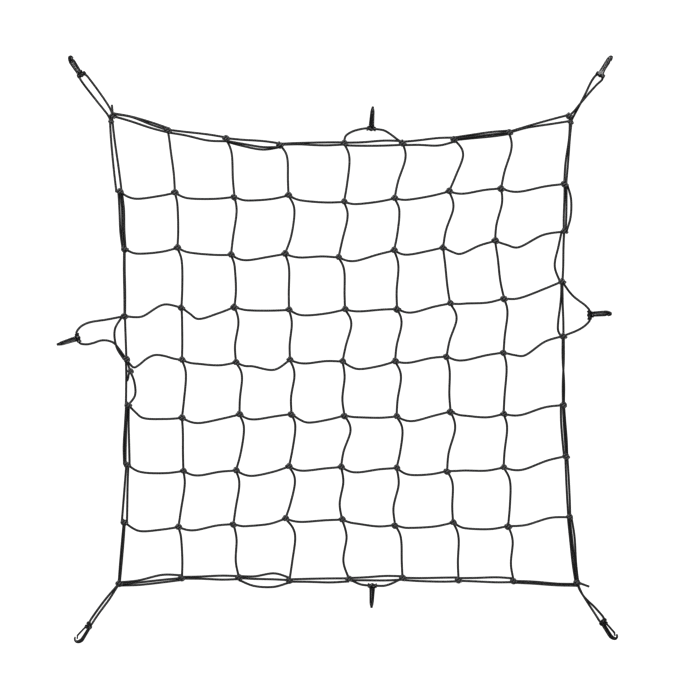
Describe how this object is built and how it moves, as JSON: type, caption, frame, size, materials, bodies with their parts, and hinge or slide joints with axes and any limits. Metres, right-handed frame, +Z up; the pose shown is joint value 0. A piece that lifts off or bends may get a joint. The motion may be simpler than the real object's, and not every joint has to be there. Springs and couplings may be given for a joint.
{
  "type": "elastic cargo net",
  "caption": "Knotted elastic cord cargo net laid out flat, with a doubled cord border and snap hooks on cord loops at its corners and sides.",
  "frame": {"origin": "on the surface that the net lies on, under the middle of its outline with the hooks", "axes": "+Z up off the surface, +Y along the longer side towards the two top corner hooks, +X to the right seen from above"},
  "size_m": [1.1195, 1.1729, 0.0208],
  "materials": {
    "cord": "matt woven elastic cord",
    "hook": "glossy moulded plastic",
    "gate": "glossy moulded plastic"
  },
  "bodies": {
    "net": {"mesh": "cord", "border": "cord", "loop_top_left": "cord", "hook_top_left": "hook", "loop_top_right": "cord", "hook_top_right": "hook", "loop_bottom_left": "cord", "hook_bottom_left": "hook", "loop_bottom_right": "cord", "hook_bottom_right": "hook", "loop_top": "cord", "hook_top": "hook", "loop_bottom": "cord", "hook_bottom": "hook", "loop_left": "cord", "hook_left": "hook", "loop_right": "cord", "hook_right": "hook"},
    "gate_top_left_body": {"gate_top_left": "gate"},
    "gate_top_right_body": {"gate_top_right": "gate"},
    "gate_bottom_left_body": {"gate_bottom_left": "gate"},
    "gate_bottom_right_body": {"gate_bottom_right": "gate"},
    "gate_top_body": {"gate_top": "gate"},
    "gate_bottom_body": {"gate_bottom": "gate"},
    "gate_left_body": {"gate_left": "gate"},
    "gate_right_body": {"gate_right": "gate"}
  },
  "joints": [
    {"name": "gate_top_left_hinge", "type": "hinge", "parent": "net", "child": "gate_top_left_body", "pos_m": [-0.50909, 0.55494, 0.01206], "axis": [-0.708, -0.5002, 0.4985], "range_deg": [0, 10], "stiffness_Nm_per_rad": 0.003, "springref_deg": -2.86},
    {"name": "gate_top_right_hinge", "type": "hinge", "parent": "net", "child": "gate_top_right_body", "pos_m": [0.53192, 0.55334, 0.00356], "axis": [0.7904, -0.5133, 0.3343], "range_deg": [0, 10], "stiffness_Nm_per_rad": 0.003, "springref_deg": -2.86},
    {"name": "gate_bottom_left_hinge", "type": "hinge", "parent": "net", "child": "gate_bottom_left_body", "pos_m": [-0.49855, -0.55128, 0.01138], "axis": [0.3006, -0.3245, 0.8968], "range_deg": [0, 10], "stiffness_Nm_per_rad": 0.003, "springref_deg": -2.86},
    {"name": "gate_bottom_right_hinge", "type": "hinge", "parent": "net", "child": "gate_bottom_right_body", "pos_m": [0.53852, -0.54473, 0.01228], "axis": [0.5323, 0.4147, -0.738], "range_deg": [0, 10], "stiffness_Nm_per_rad": 0.003, "springref_deg": -2.86},
    {"name": "gate_top_hinge", "type": "hinge", "parent": "net", "child": "gate_top_body", "pos_m": [0.07077, 0.44699, 0.0092], "axis": [-0.9973, 0.0732, 0], "range_deg": [0, 10], "stiffness_Nm_per_rad": 0.003, "springref_deg": -2.86},
    {"name": "gate_bottom_hinge", "type": "hinge", "parent": "net", "child": "gate_bottom_body", "pos_m": [0.0724, -0.4756, 0.0092], "axis": [0.9992, -0.0401, 0], "range_deg": [0, 10], "stiffness_Nm_per_rad": 0.003, "springref_deg": -2.86},
    {"name": "gate_left_hinge", "type": "hinge", "parent": "net", "child": "gate_left_body", "pos_m": [-0.51995, 0.02265, 0.0092], "axis": [0.3107, -0.9505, 0], "range_deg": [0, 10], "stiffness_Nm_per_rad": 0.003, "springref_deg": -2.86},
    {"name": "gate_right_hinge", "type": "hinge", "parent": "net", "child": "gate_right_body", "pos_m": [0.51145, 0.06842, 0.01157], "axis": [-0.0983, 0.9222, 0.374], "range_deg": [0, 10], "stiffness_Nm_per_rad": 0.003, "springref_deg": -2.86}
  ]
}
